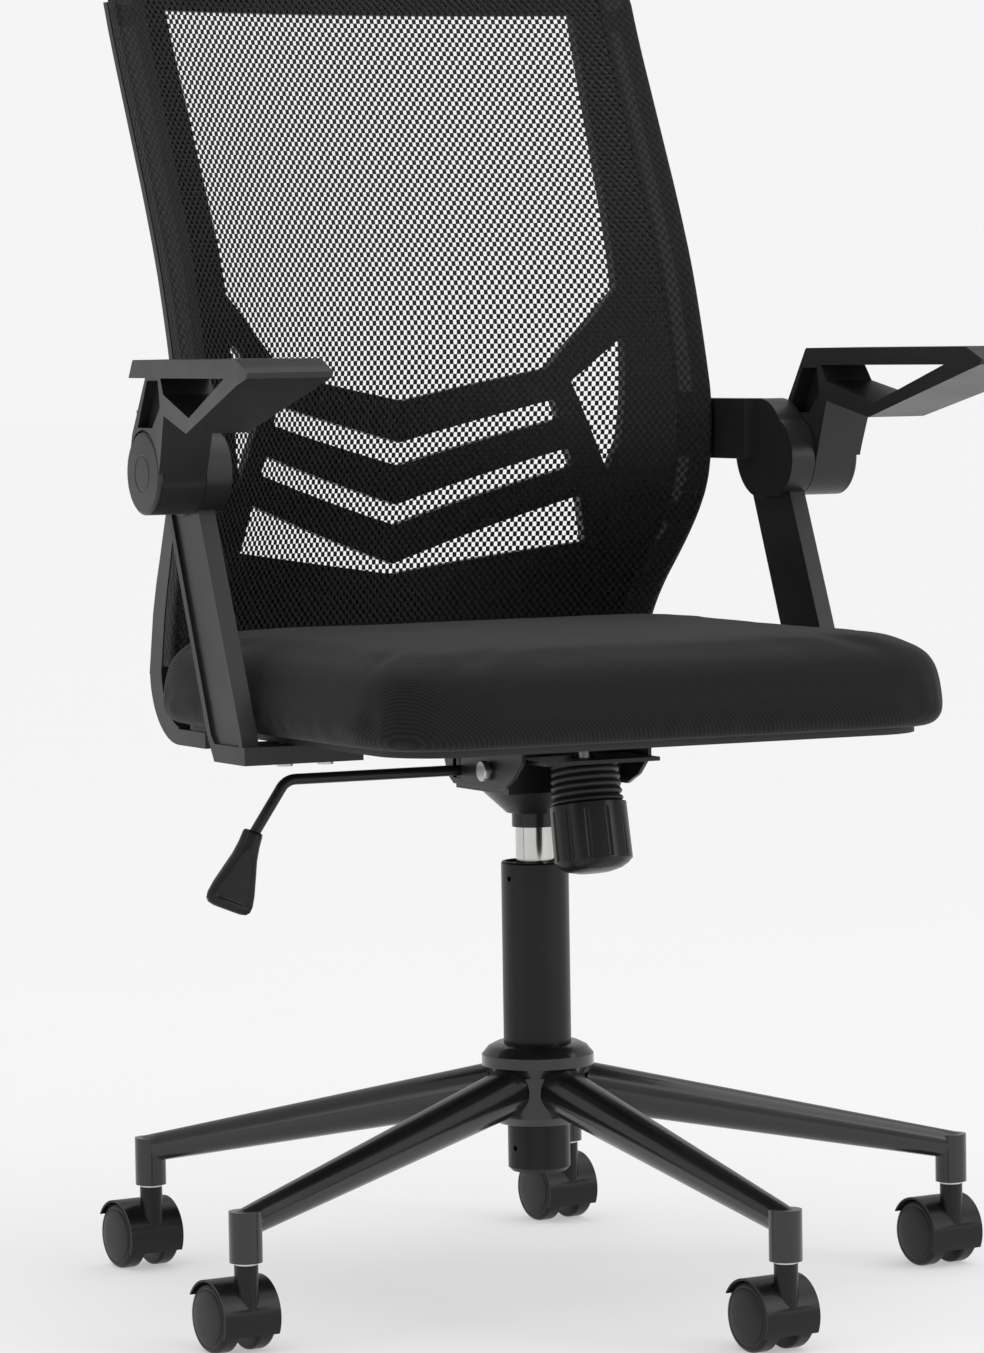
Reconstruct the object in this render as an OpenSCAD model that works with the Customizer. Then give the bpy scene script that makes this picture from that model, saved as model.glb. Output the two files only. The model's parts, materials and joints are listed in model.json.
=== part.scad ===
// Swivel office chair: five-star base, twin-wheel casters, gas lift, rocking mechanism,
// padded seat, mesh back with chevron lumbar ribs, and flip-up arms.
// The sitter faces -Y, +Z is up, and the origin is on the floor under the swivel axis.

/* [Base] */
// Distance from the column to each caster stem
base_radius = 320; // [290:1:350]
// Turn of the star about the column
base_turn = 5; // [0:1:15]
// Number of legs that the hub takes
leg_count = 5; // [5:1:5]
// Height of a leg's centre line at the hub
leg_root_z = 152; // [146:1:158]
// Radius of a leg at the hub
leg_root_r = 18; // [15:0.5:20]
// Radius of a leg at its tip
leg_tip_r = 10.5; // [9:0.5:12]
// Height of the lower face of each stem socket
socket_bottom = 65; // [64:0.5:68]
// Height of the upper face of each stem socket
socket_top = 101; // [96:1:106]

/* [Casters] */
// Turn of all casters about their stems
caster_turn = 6; // [-20:1:20]
// Wheel radius
wheel_r = 25; // [22:0.5:26]
// Distance that the wheels trail behind the stem
caster_trail = 18; // [12:1:22]
// Width of one wheel
wheel_w = 15; // [12:0.5:16]
// Distance between the two wheels
wheel_gap = 15; // [12:1:18]

/* [Gas lift] */
// Outside diameter of the stand tube
tube_d = 50; // [48:0.5:52]
// Height of the stand tube's top
tube_top = 320; // [300:1:340]
// Outside diameter of the gas cylinder
gas_d = 28; // [27:0.5:29]
// Height of the stand tube's lower end
tube_bottom = 90; // [86:1:94]

/* [Mechanism] */
// Height of the tilt pin
tilt_z = 391; // [388:1:393]
// Distance of the tilt pin in front of the column
tilt_ahead = 32; // [28:1:36]
// Lean of the tension bolt
bolt_lean = 11; // [8:1:14]
// Radius of the tension knob
knob_r = 28; // [24:1:30]
// Distance of the lever's rod behind the column
lever_y = 20; // [19:1:21]

/* [Seat] */
// Width of the cushion
seat_w = 468; // [440:2:470]
// Depth of the cushion
seat_d = 454; // [440:2:456]
// Height of the cushion's underside
seat_bottom = 418; // [418:1:419]
// Thickness of the cushion at its crown
seat_t = 73; // [60:1:80]

/* [Back] */
// Height of the top of the back
back_top = 1005; // [980:1:1020]
// Half of the width of the back
back_half = 221; // [215:0.5:222]
// Thickness of the moulded frame
frame_t = 11; // [8:0.5:14]
// Thickness of the mesh fabric
mesh_t = 1.2; // [0.8:0.1:1.5]

/* [Arms] */
// Height of the arm pad
arm_top = 694; // [688:1:700]
// Height of the arm's pivot
pivot_z = 612; // [608:1:616]
// Distance of the arm's pivot behind the column
pivot_y = 45; // [42:1:48]
// Distance from the middle plane to the arm's inner face
arm_inner = 252; // [252:0.5:254]
// Width of the arm pad at its front
arm_w = 64; // [60:1:68]

/* [Hidden] */

black_plastic = [0.10, 0.10, 0.10];
black_paint = [0.05, 0.05, 0.05];
fabric_black = [0.14, 0.14, 0.14];
steel = [0.75, 0.75, 0.76];

round_fn = 64;
soft_fn = 32;
run_gap = 0.05;   // radial clearance of every pin that turns in its hole

// ---- base ----
hub_top = 186;
hub_bottom = 126;
hub_flange_r = 41.5;
hub_neck_r = 36;
tube_r = tube_d / 2;
tube_low_r = tube_r - 2;
tube_wall = 1.5;
leg_start = 32;
leg_tip_z = socket_top - leg_tip_r + 2;
socket_r = 11.75;
stem_r = 5.5;
stem_low = 44;
stem_top = 94;

// Height of the leg's centre line falls evenly from the hub to the socket.
module leg_cone(beyond = 0) {
    run = base_radius - leg_start;
    fall = leg_root_z - leg_tip_z;
    len = norm([run, fall]);
    translate([0, -leg_start, leg_root_z])
        rotate([90 + atan2(fall, run), 0, 0])
            cylinder(h = len + beyond, r1 = leg_root_r,
                r2 = leg_tip_r - (leg_root_r - leg_tip_r) * beyond / len, $fn = round_fn);
}

module on_leg(i) {
    rotate([0, 0, base_turn + 360 / leg_count * (i - 1)]) children();
}

module base_hub() {
    color(black_paint)
        difference() {
            rotate_extrude($fn = round_fn)
                polygon([
                    [tube_low_r + 0.02, hub_bottom], [hub_neck_r - 6, hub_bottom], [hub_neck_r, hub_bottom + 6],
                    [hub_neck_r, hub_top - 24], [hub_flange_r, hub_top - 17], [hub_flange_r, hub_top - 9],
                    [hub_flange_r - 5, hub_top - 3], [tube_r + 5, hub_top], [tube_low_r + 0.02, hub_top]
                ]);
            for (i = [1:leg_count])
                on_leg(i) leg_cone();
        }
}

module leg(i) {
    color(black_paint)
        on_leg(i)
            difference() {
                union() {
                    leg_cone();
                    translate([0, -base_radius, socket_bottom])
                        cylinder(h = socket_top - socket_bottom, r = socket_r, $fn = round_fn);
                    // the leg's round top runs on over the socket
                    intersection() {
                        leg_cone(socket_r + 6);
                        translate([0, -base_radius, socket_bottom])
                            cylinder(h = 2 * socket_top, r = socket_r, $fn = round_fn);
                    }
                }
                translate([0, -base_radius, socket_bottom - 1])
                    cylinder(h = stem_top - socket_bottom + 2, r = stem_r + run_gap, $fn = round_fn);
                cylinder(h = 2 * hub_top, r = tube_low_r + 0.5, $fn = round_fn);
            }
}

cup_rise = 4.5;
floor_low = tube_bottom + cup_rise;
floor_t = 4;
hole_turn = -77;
module stand_tube() {
    color(black_paint)
        difference() {
            rotate_extrude($fn = round_fn)
                polygon([
                    [6, floor_low], [tube_low_r - 5, floor_low], [tube_low_r - 5, tube_bottom],
                    [tube_low_r - 3, tube_bottom], [tube_low_r, tube_bottom + 3],
                    [tube_low_r, hub_top], [tube_r, hub_top], [tube_r, tube_top - 1.5],
                    [tube_r - 1, tube_top], [tube_r - 3, tube_top], [tube_r - 3, tube_top - 2],
                    [tube_low_r - tube_wall, tube_top - 2], [tube_low_r - tube_wall, floor_low + floor_t],
                    [6, floor_low + floor_t]
                ]);
            for (z = [tube_bottom + 18, tube_top - 12])
                translate([0, 0, z])
                    rotate([90, 0, hole_turn])
                        cylinder(h = tube_d, r = 2, $fn = soft_fn);
        }
}

module ring(r_out, r_in, z_low, z_high) {
    translate([0, 0, z_low])
        difference() {
            cylinder(h = z_high - z_low, r = r_out, $fn = round_fn);
            translate([0, 0, -1])
                cylinder(h = z_high - z_low + 2, r = r_in, $fn = round_fn);
        }
}

bush_length = 60;
module guide_bush() {
    color(black_plastic)
        ring(tube_low_r - tube_wall - 0.02, gas_d / 2 + run_gap, tube_top - 2 - bush_length, tube_top - 2);
}

rod_r = 5;
bearing_z = floor_low + floor_t;
bearing_t = 5;
module thrust_bearing() {
    color(steel)
        ring(12, rod_r + 0.3, bearing_z, bearing_z + bearing_t);
}

module rod_clip() {
    color(steel)
        ring(9, rod_r, floor_low - 3, floor_low - 0.3);
}

// ---- casters ----
hood_t = 1.6;
hood_gap = 0.6;
hood_out_r = wheel_r + hood_gap + hood_t;
axle_r = 3;
half_w = wheel_gap / 2 + wheel_w;
web_half = wheel_gap / 2 - 0.8;
hood_neck_top = 63;

module at_caster(i) {
    on_leg(i)
        translate([0, -base_radius, 0])
            rotate([0, 0, caster_turn - base_turn - 360 / leg_count * (i - 1)])
                children();
}

module x_rod(r, x_low, x_high) {
    translate([x_low, 0, 0])
        rotate([0, 90, 0])
            cylinder(h = x_high - x_low, r = r, $fn = round_fn);
}

module caster_hood(i) {
    cut = 2 * hood_out_r;
    color(black_plastic)
        at_caster(i)
            difference() {
                union() {
                    translate([0, caster_trail, wheel_r])
                        difference() {
                            x_rod(hood_out_r, -half_w, half_w);
                            x_rod(wheel_r + hood_gap, -half_w - 1, -web_half);
                            x_rod(wheel_r + hood_gap, web_half, half_w + 1);
                            translate([-cut / 2, 0, -cut - 4])
                                cube([cut, cut, cut]);
                            translate([-cut / 2, -cut, -cut - 12])
                                cube([cut, cut, cut]);
                            translate([-cut / 2, 12, -cut / 2])
                                cube([cut, cut, cut / 2 + 14]);
                        }
                    translate([0, 0, 21])
                        cylinder(h = hood_neck_top - 21, r = 8.5, $fn = round_fn);
                }
                translate([0, 0, stem_low - 0.1])
                    cylinder(h = 40, r = stem_r, $fn = round_fn);
                translate([0, caster_trail, wheel_r])
                    x_rod(axle_r, -40, 40);
                for (s = [-1, 1])
                    translate([0, caster_trail, wheel_r])
                        x_rod(wheel_r + hood_gap, min(s * web_half, s * 60), max(s * web_half, s * 60));
            }
}

module caster_stem(i) {
    color(steel)
        at_caster(i) {
            translate([0, 0, stem_low])
                cylinder(h = stem_top - stem_low, r = stem_r, $fn = round_fn);
            ring(8, stem_r, hood_neck_top, socket_bottom - 0.4);
        }
}

module caster_axle(i) {
    color(steel)
        at_caster(i)
            translate([0, caster_trail, wheel_r])
                x_rod(axle_r, -half_w + 3, half_w - 3);
}

// The wheel's outer face is a shallow dome with a ring moulded into it.
module caster_wheel(i, side) {
    inner = wheel_gap / 2;
    outer = half_w;
    bore_r = axle_r + run_gap;
    color(black_plastic)
        at_caster(i)
            translate([0, caster_trail, wheel_r])
                rotate([0, 90 * side, 0])
                    rotate_extrude($fn = round_fn)
                        polygon([
                            [bore_r, inner], [wheel_r - 1.5, inner], [wheel_r, inner + 1.5],
                            [wheel_r, outer - 4], [wheel_r - 1.2, outer - 2], [wheel_r - 3.5, outer - 1],
                            [wheel_r - 4.5, outer - 1.6], [wheel_r - 5.5, outer - 0.6], [12, outer + 0.6],
                            [0, outer + 1], [0, outer - 2.5], [bore_r, outer - 2.5]
                        ]);
}

// ---- gas lift ----
gas_r = gas_d / 2;
gas_low = 135;
gas_top = 381;
gas_bore_r = 11.5;
piston_z = 228;
module piston_rod() {
    color(steel) {
        translate([0, 0, floor_low - 4])
            cylinder(h = piston_z - floor_low + 4, r = rod_r, $fn = round_fn);
        ring(9, rod_r, bearing_z + bearing_t + 0.1, bearing_z + bearing_t + 5);
        translate([0, 0, piston_z])
            cylinder(h = 12, r = gas_bore_r - run_gap, $fn = round_fn);
    }
}

pin_r = 4;
pin_top = 385.8;
module gas_cylinder() {
    color(steel)
        difference() {
            translate([0, 0, gas_low])
                cylinder(h = gas_top - gas_low, r = gas_r, $fn = round_fn);
            translate([0, 0, gas_low - 1])
                cylinder(h = 8, r = rod_r + run_gap, $fn = round_fn);
            translate([0, 0, gas_low + 6])
                cylinder(h = gas_top - gas_low - 20, r = gas_bore_r, $fn = round_fn);
            translate([0, 0, gas_top - 8])
                cylinder(h = 20, r = pin_r + run_gap, $fn = round_fn);
        }
}

module release_pin() {
    color(steel)
        translate([0, 0, gas_top - 4])
            cylinder(h = pin_top - gas_top + 4, r = pin_r, $fn = round_fn);
}

// ---- mechanism ----
tilt_y = -tilt_ahead;
collar_r = 16.5;
collar_low = 345.5;
cone_low = 356;
tray_low = 374;
tray_half = 46;
tray_front = -50;
tray_back = 36;
plate_low = 414.5;
plate_t = 3;
tilt_pin_r = 5;
fulcrum_x = -34;
lever_z = 388;
rod_lever_r = 4;
stub_r = 3;
flange_z = 398.5;
flange_t = 3;
bolt_y = -80;
bolt_r = 5;

module mechanism_housing() {
    color(black_paint)
        difference() {
            union() {
                // tray that carries the pin and the lever
                difference() {
                    translate([-tray_half, tray_front, tray_low])
                        cube([2 * tray_half, tray_back - tray_front, 30]);
                    translate([3 - tray_half, tray_front + 3, tray_low + 4])
                        cube([2 * tray_half - 6, tray_back - tray_front - 6, 40]);
                }
                // ears that hold the tilt pin, and the shelf that the spring bears on
                for (s = [-1, 1])
                    translate([s * (tray_half - 1.5) - 1.5, tilt_y, tilt_z])
                        rotate([0, 90, 0])
                            cylinder(h = 3, r = 13, $fn = round_fn);
                translate([-tray_half, -112, flange_z])
                    cube([2 * tray_half, 112 + tray_front + 3, flange_t]);
                // stepped cone down to the collar
                translate([0, 0, cone_low])
                    cylinder(h = tray_low - cone_low + 1, r1 = collar_r + 4, r2 = 41, $fn = round_fn);
                translate([0, 0, collar_low])
                    cylinder(h = 14, r = collar_r, $fn = round_fn);
                translate([0, 0, tray_low])
                    cylinder(h = gas_top - tray_low, r = gas_r + 5, $fn = round_fn);
                // two lugs for the lever's sleeve
                for (s = [-1, 1])
                    translate([fulcrum_x - 6, lever_y + s * 9.5 - 2, tray_low])
                        cube([12, 4, lever_z + 5 - tray_low]);
            }
            translate([0, 0, collar_low - 1])
                cylinder(h = 60, r = gas_r + 0.02, $fn = round_fn);
            translate([0, tilt_y, tilt_z])
                x_rod(tilt_pin_r, -60, 60);
            translate([fulcrum_x, lever_y, lever_z])
                rotate([90, 0, 0])
                    cylinder(h = 40, r = stub_r + run_gap, center = true, $fn = round_fn);
            // way out for the lever's rod
            translate([-tray_half - 5, lever_y - 5.5, lever_z - 6])
                cube([14, 11, 30]);
            // slope that leaves room for the tilting plate
            translate([-60, tilt_y + 12, 412])
                rotate([-14, 0, 0])
                    cube([120, 120, 40]);
            translate([0, bolt_y, flange_z - 1])
                cylinder(h = 10, r = 10, $fn = round_fn);
        }
}

ear_in = 50;
ear_t = 3;
pin_half = 57;
module tilt_pin() {
    color(steel)
        translate([0, tilt_y, tilt_z]) {
            x_rod(tilt_pin_r, -pin_half, pin_half);
            for (s = [-1, 1])
                translate([s * pin_half, 0, 0])
                    x_rod(7.5, -2.6, 2.6);
        }
}

sleeve_r = 7;
module lever_sleeve() {
    color(steel)
        translate([fulcrum_x, lever_y, lever_z])
            difference() {
                union() {
                    rotate([90, 0, 0])
                        cylinder(h = 14.6, r = sleeve_r, center = true, $fn = round_fn);
                    rotate([90, 0, 0])
                        cylinder(h = 22, r = stub_r, center = true, $fn = round_fn);
                }
                x_rod(rod_lever_r + run_gap, -20, 20);
            }
}

// The rod leaves the sleeve, runs straight out and is bent down to the handle.
bend_x = -184;
bend_r = 14;
drop_dx = -27;
drop_dz = -39;
reach = 40;
tongue_t = 3;
module lift_lever() {
    bend_angle = atan2(-drop_dz, -drop_dx);
    color(black_paint) {
        translate([0, lever_y, lever_z])
            x_rod(rod_lever_r, bend_x, -10);
        translate([bend_x, lever_y, lever_z - bend_r])
            rotate([90, 0, 0])
                rotate([0, 0, 90])
                    rotate_extrude(angle = bend_angle, $fn = round_fn)
                        translate([bend_r, 0])
                            circle(r = rod_lever_r, $fn = soft_fn);
        translate([bend_x - bend_r * sin(bend_angle), lever_y, lever_z - bend_r * (1 - cos(bend_angle))])
            rotate([0, 270 - bend_angle, 0]) {
                cylinder(h = reach + 8, r = rod_lever_r, $fn = round_fn);
                sphere(r = rod_lever_r + 0.1, $fn = round_fn);
            }
        // flat tongue that reaches over the release pin
        translate([0, 0, lever_z - 1.4])
            linear_extrude(tongue_t)
                polygon([[-14, lever_y - 3], [-12, lever_y - 9], [-6, -6], [14, -6], [14, 6], [0, 8],
                    [-5, lever_y + 3], [-14, lever_y + 3]]);
    }
}

handle_len = 62;
module lever_handle() {
    bend_angle = atan2(-drop_dz, -drop_dx);
    start_x = bend_x - bend_r * sin(bend_angle) - reach * cos(bend_angle);
    start_z = lever_z - bend_r * (1 - cos(bend_angle)) - reach * sin(bend_angle);
    color(black_plastic)
        translate([start_x, lever_y, start_z])
            rotate([0, 22, 0])
                difference() {
                    hull() {
                        translate([0, 0, 2])
                            cylinder(h = 2, r = 7.5, $fn = soft_fn);
                        translate([0, 0, -14])
                            cylinder(h = 2, r = 8.5, $fn = soft_fn);
                        for (s = [-1, 1])
                            translate([s * 14, 0, 6 - handle_len])
                                cylinder(h = 8, r = 5.5, $fn = soft_fn);
                    }
                    rotate([0, 90 - bend_angle - 22, 0])
                        translate([0, 0, -8.6])
                            cylinder(h = 40, r = rod_lever_r + 0.02, $fn = round_fn);
                }
}

// Upper half of the mechanism: a stamped plate with two side ears that rock on the pin.
plate_x = 75;
plate_front = -148;
plate_back = 46;
bolt_holes = [[-62, -134], [62, -134], [-62, 32], [62, 32]];
module seat_plate() {
    color(black_paint)
        difference() {
            union() {
                translate([0, 0, plate_low])
                    linear_extrude(plate_t)
                        polygon([
                            [-plate_x, plate_front], [-40, plate_front], [-34, plate_front + 22], [34, plate_front + 22],
                            [40, plate_front], [plate_x, plate_front], [plate_x, plate_front + 26],
                            [ear_in + 4, -86], [ear_in + 4, -6], [plate_x, plate_back - 24], [plate_x, plate_back],
                            [40, plate_back], [34, plate_back - 10], [-34, plate_back - 10], [-40, plate_back],
                            [-plate_x, plate_back], [-plate_x, plate_back - 24], [-ear_in - 4, -6],
                            [-ear_in - 4, -86], [-plate_x, plate_front + 26]
                        ]);
                for (s = [-1, 1])
                    translate([s * (ear_in + ear_t / 2) - ear_t / 2, 0, 0])
                        rotate([90, 0, 90])
                            linear_extrude(ear_t)
                                polygon([
                                    [-86, plate_low + 1], [-86, 400], [-70, 386], [-52, 378], [26, 378],
                                    [36, 384], [plate_back - 2, 402], [plate_back - 2, plate_low + 1]
                                ]);
            }
            translate([0, tilt_y, tilt_z])
                x_rod(tilt_pin_r + run_gap, -80, 80);
            translate([-ear_in - ear_t - 1, lever_y - 6.5, lever_z - 5.5])
                cube([ear_t + 2, 13, 22]);
            for (p = bolt_holes)
                translate([p[0], p[1], plate_low - 5])
                    cylinder(h = 20, r = 3.3, $fn = round_fn);
        }
}

// The tension bolt hangs from the plate; the spring and its cover sit between shelf and knob.
module on_bolt() {
    translate([0, bolt_y, flange_z])
        rotate([-bolt_lean, 0, 0])
            children();
}

cover_len = 32;
knob_len = 50;
module tension_bolt() {
    color(steel)
        intersection() {
            on_bolt()
                translate([0, 0, -cover_len - 28])
                    cylinder(h = cover_len + 60, r = bolt_r, $fn = round_fn);
            translate([-50, -200, 0])
                cube([100, 300, plate_low]);
        }
}

module tension_spring() {
    turns = 4;
    wire = 2.2;
    pitch = 6.8;
    steps = 12;
    color(steel)
        on_bolt()
            translate([0, 0, -cover_len + 1.8])
                for (k = [0:turns - 1])
                    translate([0, 0, k * pitch + wire / 2])
                        rotate_extrude($fn = round_fn)
                            translate([11, 0])
                                circle(r = wire / 2, $fn = steps + 2);
}

module spring_cover() {
    rings = 7;
    lap = 6;
    step = (cover_len + lap) / rings;
    color(black_plastic)
        intersection() {
            on_bolt()
                translate([0, 0, -cover_len + 0.3])
                    difference() {
                        for (k = [0:rings - 1])
                            translate([0, 0, k * step])
                                cylinder(h = step + 0.05, r1 = knob_r - 4.5, r2 = knob_r - 1.5 - 0.3 * k, $fn = round_fn);
                        translate([0, 0, -1])
                            cylinder(h = cover_len + lap + 2, r = 19, $fn = round_fn);
                    }
            translate([-50, -200, 0])
                cube([100, 300, flange_z - 0.3]);
        }
}

module tension_knob() {
    flutes = 12;
    color(black_plastic)
        on_bolt()
            translate([0, 0, -cover_len - knob_len])
                difference() {
                    rotate_extrude($fn = round_fn)
                        polygon([
                            [0, 0], [12, 0.6], [knob_r - 8, 2.6], [knob_r - 3, 5.5], [knob_r + 0.6, 9], [knob_r, knob_len],
                            [19, knob_len], [19, knob_len - 4], [bolt_r + 0.05, knob_len - 4],
                            [bolt_r + 0.05, knob_len - 32], [0, knob_len - 32]
                        ]);
                    for (k = [0:flutes - 1])
                        rotate([0, 0, k * 360 / flutes])
                            translate([knob_r + 2.2, 0, 10])
                                cylinder(h = knob_len - 14, r = 3, $fn = soft_fn);
                }
}

// ---- seat ----
seat_mid = -22;
seat_top = seat_bottom + seat_t;
board_t = 12;
board_in = 22;
seat_corner = 70;

module seat_outline(inset) {
    r = seat_corner - inset;
    x = seat_w / 2 - seat_corner;
    y = seat_d / 2 - seat_corner;
    translate([0, seat_mid])
        union() {
            square([2 * x, 2 * (y + r)], center = true);
            square([2 * (x + r), 2 * y], center = true);
            for (sx = [-1, 1])
                for (sy = [-1, 1])
                    translate([sx * x, sy * y])
                        circle(r = r, $fn = round_fn);
        }
}

module seat_board() {
    color("tan")
        difference() {
            translate([0, 0, seat_bottom])
                linear_extrude(board_t)
                    seat_outline(board_in);
            for (p = concat(bolt_holes, foot_bolts, leg_bolts))
                translate([p[0], p[1], seat_bottom - 1])
                    cylinder(h = board_t + 2, r = 3.02, $fn = round_fn);
        }
}

module seat_cushion() {
    x = seat_w / 2 - seat_corner;
    y = seat_d / 2 - seat_corner;
    edge_r = 31;
    mid_z = seat_bottom + edge_r + 2;
    color(fabric_black)
        difference() {
            hull() {
                for (sx = [-1, 1])
                    for (sy = [-1, 1])
                        translate([sx * x, seat_mid + sy * y, mid_z])
                            rotate_extrude($fn = soft_fn)
                                translate([seat_corner - edge_r, 0])
                                    circle(r = edge_r, $fn = soft_fn);
                translate([0, seat_mid, seat_top - 3])
                    cylinder(h = 3, r = 120, $fn = soft_fn);
                translate([0, seat_mid, seat_bottom])
                    cylinder(h = 2, r = 200, $fn = soft_fn);
            }
            translate([0, 0, seat_bottom - 1])
                linear_extrude(board_t + 1)
                    seat_outline(board_in - 0.2);
        }
}

// ---- arms ----
foot_top = 417.5;
foot_t = 13;
foot_front = -42;
foot_back = 12;
foot_in = 158;
strut_in = 238.5;
strut_out = 251.5;
strut_w = 54;
foot_bolts = [for (s = [-1, 1]) for (x = [176, 208]) [s * x, -15]];
leg_bolts = [for (s = [-1, 1]) [s * 186, 152]];
lug_in = 222.5;
lug_low = 610;
lug_top = 656;
lug_back = 168;
pivot_r = 30;
pivot_bolt_r = 6;
pivot_bolt_in = 236.5;
pad_rear_w = 46;
hub_w = 33;
nut_t = 4;
nut_out = arm_inner + hub_w - 5;
lug_screw_y = 152;
lug_screw_z = [622, 644];

module side(s) {
    mirror([s < 0 ? 1 : 0, 0, 0]) children();
}

// Outline of the strut seen from the side, from the foot up to the knuckle.
module strut_outline(inset) {
    polygon([
        [foot_front + inset, foot_top - foot_t + inset], [foot_back - inset, foot_top - foot_t + inset],
        [foot_back + 12 - inset, foot_top + 6], [96 - inset, 600], [40 + inset, 604], [foot_front + 6 + inset, foot_top + 8]
    ]);
}

module arm_bracket(s) {
    color(black_plastic)
        side(s)
            difference() {
                union() {
                    difference() {
                        translate([strut_in, 0, 0])
                            rotate([90, 0, 90])
                                linear_extrude(strut_out - strut_in)
                                    strut_outline(0);
                        translate([strut_out - 2.5, 0, 0])
                            rotate([90, 0, 90])
                                linear_extrude(10)
                                    strut_outline(7);
                    }
                    // knuckle round the pivot
                    translate([lug_in + 9, 0, 0])
                        rotate([90, 0, 90])
                            linear_extrude(strut_out - lug_in - 9) {
                                translate([pivot_y, pivot_z])
                                    circle(r = pivot_r, $fn = round_fn);
                                translate([pivot_y + 20, pivot_z + 6])
                                    circle(r = 38, $fn = round_fn);
                            }
                    // lug back to the frame of the back
                    translate([lug_in, 0, 0])
                        rotate([90, 0, 90])
                            linear_extrude(18)
                                polygon([[72, lug_low], [lug_back, lug_low], [lug_back, lug_top], [72, lug_top]]);
                    // foot under the seat
                    translate([foot_in, foot_front, foot_top - foot_t])
                        cube([strut_out - foot_in, foot_back - foot_front, foot_t]);
                }
                translate([0, pivot_y, pivot_z])
                    x_rod(pivot_bolt_r, pivot_bolt_in, 300);
                for (z = lug_screw_z)
                    translate([0, lug_screw_y, z])
                        x_rod(2.5, 200, 300);
                for (p = foot_bolts)
                    translate([p[0], p[1], foot_top - foot_t - 5])
                        cylinder(h = foot_t + 10, r = 3, $fn = round_fn);
            }
}

module arm_pivot_bolts() {
    color(steel)
        for (s = [-1, 1])
            side(s)
                translate([0, pivot_y, pivot_z]) {
                    x_rod(pivot_bolt_r, pivot_bolt_in, nut_out);
                    x_rod(9, nut_out - nut_t, nut_out);
                }
}

pad_back = 30;
pad_front = -195;
pad_t = 13;
nose_y = -216;
nose_z = arm_top - 9;
chin = [-62, arm_top - 52];
notch = [-2, arm_top - 40];
module arm_outline() {
    difference() {
        polygon([
            [pad_back, arm_top - 2], [pad_back - 2, arm_top], [pad_front, arm_top], [nose_y, nose_z], [nose_y + 2, nose_z - 4],
            chin, notch, [pivot_y - 27, pivot_z - 12], [pivot_y, pivot_z], [pivot_y + pivot_r - 1, pivot_z + 8],
            [pivot_y + 22, pivot_z + 28]
        ]);
        // window under the pad
        polygon([[-165, arm_top - pad_t], [6, arm_top - pad_t], [-2, arm_top - 25], [-70, arm_top - 41]]);
    }
}

// The armrest seen from above: narrow over the strut and wider towards the front.
arm_rear_w = 34;
module arm_plan(rear_w, rear_y) {
    polygon([
        [arm_inner, 90], [arm_inner, -20], [arm_inner + 5, -187], [arm_inner + 6, nose_y - 10],
        [arm_inner + 6 + arm_w, nose_y - 10], [arm_inner + 5 + arm_w, pad_front], [arm_inner + rear_w + 4, rear_y],
        [arm_inner + rear_w, 90]
    ]);
}

// Shallow recess in the outer and inner side of the strut, with a rim all round.
module arm_recess() {
    polygon([[34, arm_top - 15], [12, arm_top - 15], [8, arm_top - 34], [pivot_y - 20, pivot_z + 33],
        [pivot_y + 10, pivot_z + 33]]);
}

module armrest(s) {
    recess = 12;
    cap_seat = 1.5;
    color(black_plastic)
        side(s)
            difference() {
                union() {
                    intersection() {
                        translate([arm_inner - 10, 0, 0])
                            rotate([90, 0, 90])
                                linear_extrude(100)
                                    arm_outline();
                        union() {
                            translate([0, 0, pivot_z - 40])
                                linear_extrude(150)
                                    arm_plan(arm_rear_w, 10);
                            translate([0, 0, arm_top - pad_t])
                                linear_extrude(2 * pad_t)
                                    arm_plan(pad_rear_w, pad_back);
                        }
                    }
                    translate([0, pivot_y, pivot_z])
                        x_rod(pivot_r, arm_inner, arm_inner + hub_w);
                }
                translate([arm_inner + arm_rear_w - 6, 0, 0])
                    rotate([90, 0, 90])
                        linear_extrude(40)
                            arm_recess();
                translate([arm_inner - 1, 0, 0])
                    rotate([90, 0, 90])
                        linear_extrude(recess + 1)
                            arm_recess();
                translate([0, pivot_y, pivot_z]) {
                    x_rod(pivot_bolt_r + run_gap, 200, 330);
                    x_rod(10, nut_out - nut_t - 1, 330);
                    x_rod(pivot_r + cap_seat, arm_inner + hub_w, 330);
                }
            }
}

module arm_cap(s) {
    color(black_plastic)
        side(s)
            translate([arm_inner + hub_w, pivot_y, pivot_z])
                rotate([0, 90, 0])
                    rotate_extrude($fn = round_fn)
                        polygon([[0, -4], [9.9, -4], [9.9, 0], [pivot_r, 0], [pivot_r, 2.5], [pivot_r - 2, 4],
                            [13.5, 4.4], [12.8, 3.8], [12, 4.4], [0, 4.6]]);
}

// ---- back ----
// Height, set-back of the centre line, and how strongly the sides wrap forward.
back_rows = [
    [455, 236, 0.90], [500, 234, 1.20], [550, 230, 1.85], [600, 220, 2.10], [650, 210, 2.00], [700, 203, 1.60],
    [757, 208, 1.35], [810, 227, 1.28], [870, 251, 1.18], [940, 276, 1.00], [1020, 302, 0.90]
];
function smooth(t) = t * t * (3 - 2 * t);
function centre_y(z) = lookup(z, [for (r = back_rows) [r[0], r[1]]]);
function wrap(z) = lookup(z, [for (r = back_rows) [r[0], r[2]]]) / 1000;
function soft_centre(z) = (centre_y(z - 16) + centre_y(z) + centre_y(z + 16)) / 3;
function soft_wrap(z) = (wrap(z - 16) + wrap(z) + wrap(z + 16)) / 3;
function front_y(x, z) = soft_centre(z) - soft_wrap(z) * x * x;

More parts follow.
